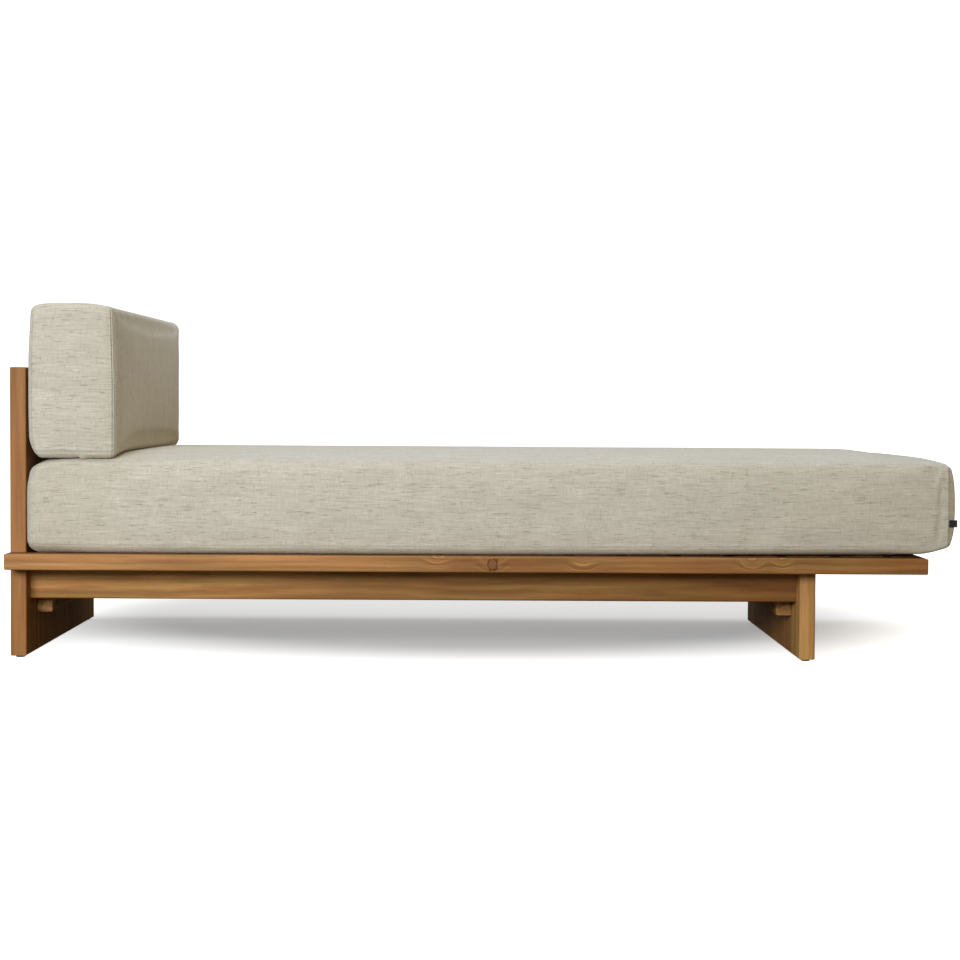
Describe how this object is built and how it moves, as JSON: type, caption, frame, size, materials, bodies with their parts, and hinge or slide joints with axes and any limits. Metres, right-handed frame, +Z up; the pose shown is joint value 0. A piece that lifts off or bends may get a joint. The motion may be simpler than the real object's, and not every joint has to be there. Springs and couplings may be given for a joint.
{
  "type": "sun lounger",
  "caption": "Low wooden outdoor daybed on two panel legs, the head one tall, with a thick box mattress and a loose box back cushion in beige woven cloth.",
  "frame": {"origin": "on the floor, under the middle of the overall length and width", "axes": "+X from the head panel to the foot end, +Y from the near long side to the far one, +Z up"},
  "size_m": [2.0684, 0.9, 0.7768],
  "materials": {
    "teak": "satin",
    "hardwood_pins": "matte",
    "stainless": "satin",
    "glide_plastic": "matte",
    "cover_cloth": "matte",
    "foam": "matte",
    "zip_plastic": "matte",
    "zip_metal": "satin",
    "tag_cloth": "matte"
  },
  "bodies": {
    "platform": {"head_board_1": "teak", "head_board_2": "teak", "head_board_3": "teak", "head_board_4": "teak", "head_board_5": "teak", "head_board_6": "teak", "head_board_7": "teak", "foot_board_1": "teak", "foot_board_2": "teak", "foot_board_3": "teak", "foot_board_4": "teak", "foot_board_5": "teak", "foot_board_6": "teak", "foot_board_7": "teak", "side_rail_near": "teak", "side_rail_far": "teak", "foot_rail": "teak", "slat_1": "teak", "slat_2": "teak", "slat_3": "teak", "slat_4": "teak", "slat_5": "teak", "slat_6": "teak", "slat_7": "teak", "slat_8": "teak", "slat_9": "teak", "slat_10": "teak", "slat_11": "teak", "slat_12": "teak", "slat_13": "teak", "slat_14": "teak", "slat_15": "teak", "slat_16": "teak", "beam_near": "teak", "beam_centre": "teak", "beam_far": "teak", "cleat_head": "teak", "cleat_foot": "teak", "rail_dowels": "hardwood_pins", "bolt_plugs": "hardwood_pins", "slat_screws": "stainless", "cleat_bolts": "stainless", "cleat_washers": "stainless", "cleat_inserts": "stainless", "beam_bolts": "stainless", "beam_washers": "stainless", "barrel_nuts": "stainless", "glide_nails": "stainless", "glides": "glide_plastic"},
    "mattress": {"mattress_cover": "cover_cloth", "mattress_core": "foam", "mattress_zip": "zip_plastic", "mattress_tag": "tag_cloth"},
    "mattress_slider": {"mattress_zip_slider": "zip_metal"},
    "back_cushion": {"back_cover": "cover_cloth", "back_core": "foam", "back_zip": "zip_plastic"},
    "back_slider": {"back_zip_slider": "zip_metal"}
  },
  "joints": [
    {"name": "mattress_lift", "type": "slide", "parent": "platform", "child": "mattress", "axis": [0, 0, 1], "range_m": [0, 0.5]},
    {"name": "back_cushion_lift", "type": "slide", "parent": "mattress", "child": "back_cushion", "axis": [0, 0, 1], "range_m": [0, 0.45]},
    {"name": "mattress_zip_slide", "type": "slide", "parent": "mattress", "child": "mattress_slider", "axis": [0, -1, 0], "range_m": [0, 0.6225]},
    {"name": "back_zip_slide", "type": "slide", "parent": "back_cushion", "child": "back_slider", "axis": [-0.0209, -0.9998, 0], "range_m": [0, 0.6225]}
  ]
}
